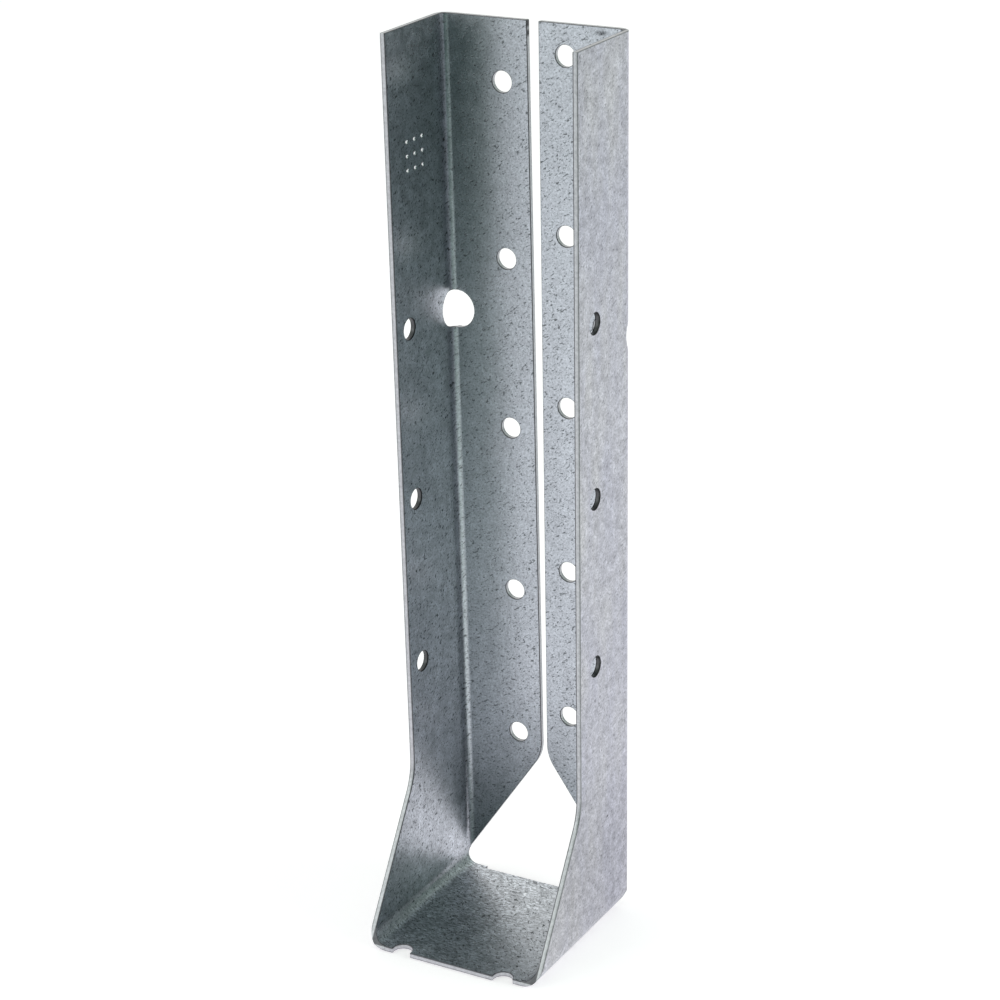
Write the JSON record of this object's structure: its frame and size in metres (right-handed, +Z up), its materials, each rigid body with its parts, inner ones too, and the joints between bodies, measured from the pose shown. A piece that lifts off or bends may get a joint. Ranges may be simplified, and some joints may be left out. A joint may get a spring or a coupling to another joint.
{
  "type": "joist hanger",
  "caption": "Galvanised sheet-metal joist hanger with a level seat, tall sides and flanges turned inward, nailed to a header to carry a joist's end.",
  "frame": {"origin": "middle of the footprint, on the underside of the seat", "axes": "+Z up along the sides, +Y towards the header on which the flanges' backs lie, +X across the joist's width"},
  "size_m": [0.0444, 0.0444, 0.1969],
  "materials": {
    "galvanised_sheet": "galvanised, fine spangle, dull grey"
  },
  "bodies": {
    "root": {"joist_hanger": "galvanised_sheet"}
  },
  "joints": []
}
